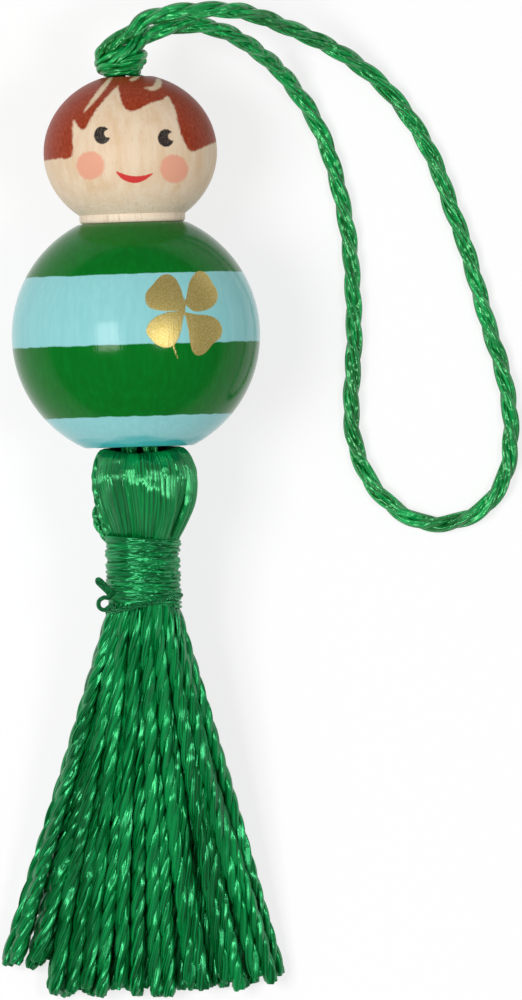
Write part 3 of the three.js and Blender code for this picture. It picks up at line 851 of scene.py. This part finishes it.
def hung(x, drop, above):
    """Places on the tassel, above its axis or below it, as places on the doll."""
    drop = np.asarray(drop, float)
    return np.column_stack([x, -BODY_FLAT - drop, axis_height(drop) + above])


def thin_ended(share):
    """A fold's thickness along it: full over the bulb and thinner at both ends."""
    return 0.7 + 0.3 * math.sin(math.pi * share)


def bulb_yarns(yarn):
    """Yarns folded over the bight: each comes up inside, over the lip and down into the wrap."""
    rng = np.random.default_rng(7)
    drop, radius = smooth(BULB_FOLD, 0.3).T
    share = np.linspace(0, 1, len(drop))
    crests = rng.uniform(*CREST_RANGE, BULB_GROUPS)
    depths = rng.uniform(*DEPTH_RANGE, BULB_GROUPS)
    outside = np.clip((share - 0.3) / 0.2, 0, 1) * np.sin(math.pi * share)
    shift = BULB_X * np.sin(math.pi * share)
    rim = np.clip(1 - drop / LIP_REACH, 0, 1)
    lines = []
    for place in range(BULB_YARNS):
        group = place * BULB_GROUPS // BULB_YARNS
        angle = 2 * math.pi * (place + rng.uniform(-0.22, 0.22)) / BULB_YARNS
        angle = angle + rng.uniform(-0.12, 0.12) * share + 0.03 * np.sin(6 * share + rng.uniform(0, 6))
        out = radius + 0.1 + (depths[group] + rng.uniform(-0.03, 0.03)) * outside
        front = np.clip(np.sin(angle), 0, 1)
        back = np.clip(np.sin(angle), -1, 0)
        lip = rim * (LIP_FRONT * front ** 2 + LIP_BACK * back)
        down = drop + lip + (crests[group] + rng.uniform(-0.35, 0.35)) * outside
        lines.append(hung(shift + out * np.cos(angle), down, out * np.sin(angle)))
    for run in LOOSE_FOLDS:
        lines += twisted(hung(*smooth(run, 0.25).T), 2, LOOSE_FOLD_LAY, LOOSE_FOLD_SPREAD, -1)
    bulb = tubes("folded_yarns", lines, BULB_YARN_R, yarn, taper=thin_ended)
    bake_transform(bulb)
    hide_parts("tassel_bulb")


def wound(turn, start, out, top, length, slant):
    """A course of thread round the neck: its turns, where they start, their radius and their slant."""
    angle = 2 * math.pi * (turn + start)
    drop = top + length * turn / turn[-1] + slant * np.cos(angle)
    return hung(out * np.cos(angle), drop, out * np.sin(angle))


def neck_wrap(yarn):
    """One thread wound a little unevenly round the neck: two courses, and a last turn tied across."""
    turn = np.linspace(0, UNDER_TURNS, 44 * UNDER_TURNS)
    out = WRAP_R + 0.06 * np.sin(3.7 * turn) + 0.25 * np.exp(-turn ** 2 / 4)
    under = wound(turn, -0.3, out, WRAP_TOP, WRAP_LENGTH, UNDER_SLANT)
    turn = np.linspace(0, OVER_TURNS, 72 * OVER_TURNS)
    out = OVER_R + 0.08 * np.sin(2.7 * turn) + 0.2 * np.exp(-turn ** 2 / 4)
    slant = 0.2 + 0.4 * np.sin(0.7 * turn) + 0.2 * np.cos(1.9 * turn)
    over = wound(turn, 0.1, out, WRAP_TOP + OVER_INSET, WRAP_LENGTH - 2 * OVER_INSET, slant)
    angle = np.linspace(-0.1 * math.pi, 1.25 * math.pi, 50)
    tie = hung(TIE_R * np.cos(angle), TIE_DROP - TIE_SLANT * np.cos(angle), TIE_R * np.sin(angle))
    tied = twisted(tie, 3, TIE_LAY, TIE_SPREAD, 1)
    wrap = tubes("wound_thread", [under, over, *tied], THREAD_R, yarn)
    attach(wrap, "tassel")
    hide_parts("neck_wrap")


def wrap_tail(yarn):
    """The thread's loose end: a small loop at the lower left of the neck."""
    line = hung(*smooth(LOOSE_LOOP, FINE_STEP).T)
    tail = tubes("loose_thread", [line], LOOSE_THREAD_R, yarn)
    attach(tail, "tassel")
    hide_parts("wrap_tail")


def cut_ended(share):
    """A yarn's thickness along it: drawn in at the neck, full below it and pinched at the cut end."""
    return 0.8 + 0.2 * min(1, 4 * share) - 0.4 * (share > 0.99)


def skirt_yarns(yarn):
    """The cut yarns: a round bundle at the neck that fans out in layers as it comes down to the table."""
    rng = np.random.default_rng(11)
    share = np.linspace(0, 1, 80)
    plies = []
    for side, count, offset, sag in SKIRT_LAYERS:
        for place in range(count):
            across = (place + offset + rng.uniform(-0.15, 0.15)) / SKIRT_PLACES
            trim = SHORT_TRIM * (across < SHORT_PLACES) + RIGHT_TRIM * across ** 6
            trim += rng.uniform(0, UNEVEN_TRIM)
            drop = SKIRT_TOP + share * (SKIRT_END - trim - SKIRT_TOP)
            out = NECK_R if place % 2 == 0 else NECK_R / 2
            angle = NECK_ARC * (across - 0.5)
            neck_x = out * math.sin(angle)
            fan_x = -FAN_LEFT + (FAN_LEFT + FAN_RIGHT) * across
            sway = rng.uniform(0.1, 0.3)
            waves = rng.uniform(0.6, 1.4)
            swayed = sway * np.sin(2 * math.pi * (waves * share + rng.uniform(0, 1)))
            x = neck_x + (fan_x - neck_x + swayed) * share
            swell = rng.uniform(0.2, 0.7) * np.sin(math.pi * np.clip(share / SWELL_END, 0, 1)) * max(side, 0)
            above = side * out * math.cos(angle) * (1 - share) + (side - sag) * share + swell
            line = hung(x, drop, above)
            line[:, 2] = np.maximum(line[:, 2], YARN_PLY_R + YARN_SPREAD)
            lay = YARN_LAY * rng.uniform(0.85, 1.25)
            plies += twisted(line, YARN_PLIES, lay, YARN_SPREAD, 1, rng.uniform(0, 2 * math.pi))
    skirt = tubes("skirt_yarns", plies, YARN_PLY_R, yarn, taper=cut_ended)
    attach(skirt, "tassel")
    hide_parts(*[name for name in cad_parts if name.startswith("skirt_strand")])


photo_camera()
studio()
table_top()
knot_and_loop()
head_bead()
body_bead()
core_cord(satin_yarn("satin_core", PLY_R, CORE_LENGTH, **CORD_LOOK))
bulb_yarns(satin_yarn("satin_folds", BULB_YARN_R, FOLD_LENGTH, **FOLD_LOOK))
thread = satin_yarn("satin_thread", THREAD_R, THREAD_LENGTH, **THREAD_LOOK)
neck_wrap(thread)
wrap_tail(thread)
skirt_yarns(satin_yarn("satin_skirt", YARN_PLY_R, YARN_LENGTH, **SKIRT_LOOK))
